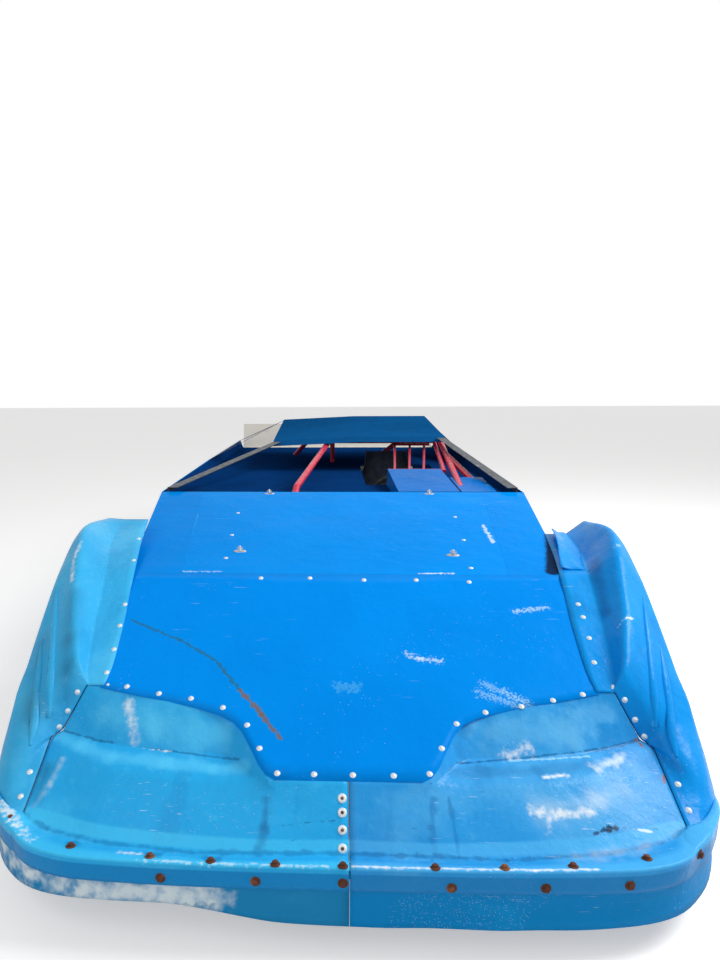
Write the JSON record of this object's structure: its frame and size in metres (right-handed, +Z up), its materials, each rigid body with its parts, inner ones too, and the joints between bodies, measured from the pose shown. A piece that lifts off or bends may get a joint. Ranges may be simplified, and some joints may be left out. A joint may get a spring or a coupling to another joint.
{
  "type": "dirt oval stock car",
  "caption": "Wedge-bodied dirt-oval race car: moulded nose and flares, pinned bonnet, dropped deck, tube frame and cage, offset roof, steering front wheels and a solid rear axle.",
  "frame": {"origin": "on the ground in the middle of the car's length and width", "axes": "+Y towards the tail, the nose points to -Y; +X to the driver's left side; +Z up"},
  "size_m": [2.2374, 5.0999, 1.2363],
  "materials": {
    "nose_left": "satin",
    "nose_right": "satin",
    "flare_left": "satin",
    "flare_right": "satin",
    "valance": "matt",
    "nose_panel": "gloss",
    "bonnet": "gloss",
    "fender_tops": "gloss",
    "door_sides": "gloss",
    "quarter_sides": "gloss",
    "deck": "gloss",
    "dash_cowl": "gloss",
    "roof": "satin",
    "roof_posts": "satin",
    "sail_panels": "satin",
    "spoiler": "satin",
    "tail_panel": "gloss",
    "front_clip": "satin",
    "chassis_frame": "satin",
    "rear_clip": "satin",
    "roll_cage": "gloss",
    "windshield_bars": "gloss",
    "front_bumper": "satin",
    "rear_bumper": "satin",
    "powertrain": "matt",
    "exhausts": "satin",
    "radiator": "satin",
    "fuel_cell": "satin",
    "cockpit_tub": "satin",
    "seat": "satin",
    "steering_column": "satin",
    "steering_wheel": "matt",
    "front_suspension": "satin",
    "coil_shocks": "satin",
    "steering_rack": "satin",
    "rear_axle": "matt",
    "rear_links": "satin",
    "knuckle_left": "matt",
    "knuckle_right": "matt",
    "rack_bar": "satin",
    "rim_front_left": "satin",
    "tyre_front_left": "matt",
    "rim_front_right": "satin",
    "tyre_front_right": "matt",
    "rim_rear_left": "satin",
    "tyre_rear_left": "matt",
    "rim_rear_right": "satin",
    "tyre_rear_right": "matt"
  },
  "bodies": {
    "car": {"nose_left": "nose_left", "nose_right": "nose_right", "flare_left": "flare_left", "flare_right": "flare_right", "valance": "valance", "nose_panel": "nose_panel", "bonnet": "bonnet", "fender_tops": "fender_tops", "door_sides": "door_sides", "quarter_sides": "quarter_sides", "deck": "deck", "dash_cowl": "dash_cowl", "roof": "roof", "roof_posts": "roof_posts", "sail_panels": "sail_panels", "spoiler": "spoiler", "tail_panel": "tail_panel", "front_clip": "front_clip", "chassis_frame": "chassis_frame", "rear_clip": "rear_clip", "roll_cage": "roll_cage", "windshield_bars": "windshield_bars", "front_bumper": "front_bumper", "rear_bumper": "rear_bumper", "powertrain": "powertrain", "exhausts": "exhausts", "radiator": "radiator", "fuel_cell": "fuel_cell", "cockpit_tub": "cockpit_tub", "seat": "seat", "steering_column": "steering_column", "front_suspension": "front_suspension", "coil_shocks": "coil_shocks", "steering_rack": "steering_rack", "rear_axle": "rear_axle", "rear_links": "rear_links"},
    "knuckle_left": {"knuckle_left": "knuckle_left"},
    "knuckle_right": {"knuckle_right": "knuckle_right"},
    "rack_bar": {"rack_bar": "rack_bar"},
    "steering_wheel": {"steering_wheel": "steering_wheel"},
    "wheel_front_left": {"rim_front_left": "rim_front_left", "tyre_front_left": "tyre_front_left"},
    "wheel_front_right": {"rim_front_right": "rim_front_right", "tyre_front_right": "tyre_front_right"},
    "wheel_rear_left": {"rim_rear_left": "rim_rear_left", "tyre_rear_left": "tyre_rear_left"},
    "wheel_rear_right": {"rim_rear_right": "rim_rear_right", "tyre_rear_right": "tyre_rear_right"}
  },
  "joints": [
    {"name": "steer_left", "type": "hinge", "parent": "car", "child": "knuckle_left", "pos_m": [0.735, -1.28, 0.356], "axis": [0, 0, 1], "range_deg": [-22, 22]},
    {"name": "steer_right", "type": "hinge", "parent": "car", "child": "knuckle_right", "pos_m": [-0.735, -1.28, 0.356], "axis": [0, 0, 1], "range_deg": [-22, 22]},
    {"name": "steering_wheel_turn", "type": "hinge", "parent": "car", "child": "steering_wheel", "pos_m": [0.375, 0.24, 0.735], "axis": [0.0146, 0.9802, 0.1975], "range_deg": [-177, 177]},
    {"name": "rack_slide", "type": "slide", "parent": "car", "child": "rack_bar", "axis": [1, 0, 0], "range_m": [-0.0605, 0.0605]},
    {"name": "spin_front_left", "type": "hinge", "parent": "knuckle_left", "child": "wheel_front_left", "pos_m": [0.93, -1.28, 0.356], "axis": [1, 0, 0], "continuous": true},
    {"name": "spin_front_right", "type": "hinge", "parent": "knuckle_right", "child": "wheel_front_right", "pos_m": [-0.93, -1.28, 0.356], "axis": [1, 0, 0], "continuous": true},
    {"name": "spin_rear_left", "type": "hinge", "parent": "car", "child": "wheel_rear_left", "pos_m": [0.85, 1.36, 0.366], "axis": [1, 0, 0], "continuous": true},
    {"name": "spin_rear_right", "type": "hinge", "parent": "car", "child": "wheel_rear_right", "pos_m": [-0.85, 1.36, 0.366], "axis": [1, 0, 0], "continuous": true}
  ],
  "couplings": [
    {"joint": "steer_right", "follows": "steer_left", "ratio": 1},
    {"joint": "steering_wheel_turn", "follows": "steer_left", "ratio": 8},
    {"joint": "rack_slide", "follows": "steer_left", "m_per_rad": 0.156},
    {"joint": "spin_rear_right", "follows": "spin_rear_left", "ratio": 1}
  ]
}
